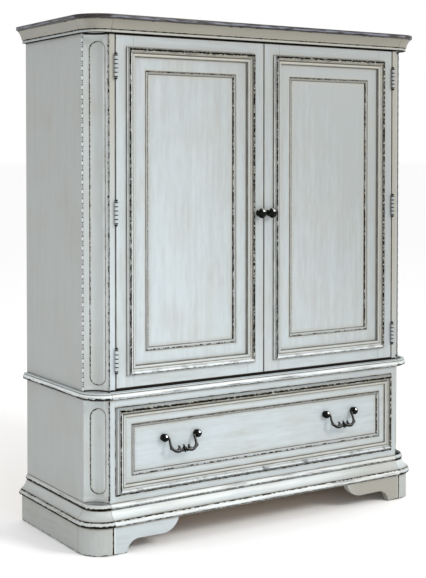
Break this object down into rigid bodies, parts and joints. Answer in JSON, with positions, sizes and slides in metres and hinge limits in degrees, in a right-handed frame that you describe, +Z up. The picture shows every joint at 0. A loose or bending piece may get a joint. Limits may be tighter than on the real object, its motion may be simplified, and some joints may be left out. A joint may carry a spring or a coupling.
{
  "type": "armoire",
  "caption": "Distressed antique-white armoire with two panelled doors over one wide drawer, rounded front corners, a dark top and bracket feet.",
  "frame": {"origin": "on the floor, under the middle of the top panel's outline (the middle of the armoire's bounding box)", "axes": "+X to the right as seen from the front, along the width; +Y from the front to the back; +Z up"},
  "size_m": [1.24, 0.474, 1.528],
  "materials": {
    "antique_white_paint": "satin",
    "dark_stained_wood": "satin",
    "bare_wood": "matte",
    "painted_hinge": "satin",
    "aged_dark_metal": "satin",
    "catch_steel": "satin",
    "slide_steel": "satin",
    "glide_plastic": "matte"
  },
  "bodies": {
    "cabinet": {"back_panel": "bare_wood", "back_skirt": "bare_wood", "base_moulding_front": "antique_white_paint", "base_moulding_left": "antique_white_paint", "base_moulding_right": "antique_white_paint", "bead_strips": "antique_white_paint", "bottom_panel": "bare_wood", "bracket_feet": "antique_white_paint", "corner_post_left": "antique_white_paint", "corner_post_right": "antique_white_paint", "cornice_front": "antique_white_paint", "cornice_left": "antique_white_paint", "cornice_right": "antique_white_paint", "cupboard_floor": "bare_wood", "cupboard_top": "bare_wood", "door_catch": "catch_steel", "face_frame_rails": "antique_white_paint", "face_frame_stiles": "antique_white_paint", "glides": "glide_plastic", "left_hinge_frame_leaves": "painted_hinge", "plinth_blocks": "antique_white_paint", "right_hinge_frame_leaves": "painted_hinge", "runner_blocks": "bare_wood", "shelf_cleats": "bare_wood", "shelves": "bare_wood", "side_panel_left": "antique_white_paint", "side_panel_right": "antique_white_paint", "side_skirts": "antique_white_paint", "slide_case_members": "slide_steel", "top_panel": "dark_stained_wood", "waist_moulding_front": "antique_white_paint", "waist_moulding_left": "antique_white_paint", "waist_moulding_right": "antique_white_paint"},
    "left_door": {"left_catch_plate": "catch_steel", "left_door_inner_moulding": "antique_white_paint", "left_door_moulding": "antique_white_paint", "left_door_panel": "antique_white_paint", "left_door_rails": "antique_white_paint", "left_door_stiles": "antique_white_paint", "left_hinge_door_leaves": "painted_hinge", "left_knob": "aged_dark_metal"},
    "right_door": {"right_catch_plate": "catch_steel", "right_door_inner_moulding": "antique_white_paint", "right_door_moulding": "antique_white_paint", "right_door_panel": "antique_white_paint", "right_door_rails": "antique_white_paint", "right_door_stiles": "antique_white_paint", "right_hinge_door_leaves": "painted_hinge", "right_knob": "aged_dark_metal"},
    "slide_middle": {"slide_middle_members": "slide_steel"},
    "drawer": {"drawer_front": "antique_white_paint", "drawer_moulding": "antique_white_paint", "drawer_inner_moulding": "antique_white_paint", "drawer_sides": "bare_wood", "drawer_back": "bare_wood", "drawer_bottom": "bare_wood", "slide_drawer_members": "slide_steel", "handle_posts": "aged_dark_metal"},
    "left_bail_body": {"left_bail": "aged_dark_metal"},
    "right_bail_body": {"right_bail": "aged_dark_metal"}
  },
  "joints": [
    {"name": "left_door_hinge", "type": "hinge", "parent": "cabinet", "child": "left_door", "pos_m": [-0.5135, -0.2103, 0.97], "axis": [0, 0, -1], "range_deg": [0, 120]},
    {"name": "right_door_hinge", "type": "hinge", "parent": "cabinet", "child": "right_door", "pos_m": [0.5135, -0.2103, 0.97], "axis": [0, 0, 1], "range_deg": [0, 120]},
    {"name": "drawer_slide", "type": "slide", "parent": "cabinet", "child": "drawer", "axis": [0, -1, 0], "range_m": [0, 0.33]},
    {"name": "slide_middle_travel", "type": "slide", "parent": "cabinet", "child": "slide_middle", "axis": [0, -1, 0], "range_m": [0, 0.165]},
    {"name": "left_bail_swing", "type": "hinge", "parent": "drawer", "child": "left_bail_body", "pos_m": [-0.298, -0.21, 0.311], "axis": [-1, 0, 0], "range_deg": [0, 90]},
    {"name": "right_bail_swing", "type": "hinge", "parent": "drawer", "child": "right_bail_body", "pos_m": [0.298, -0.21, 0.311], "axis": [-1, 0, 0], "range_deg": [0, 90]}
  ],
  "couplings": [
    {"joint": "slide_middle_travel", "follows": "drawer_slide", "ratio": 0.5}
  ]
}
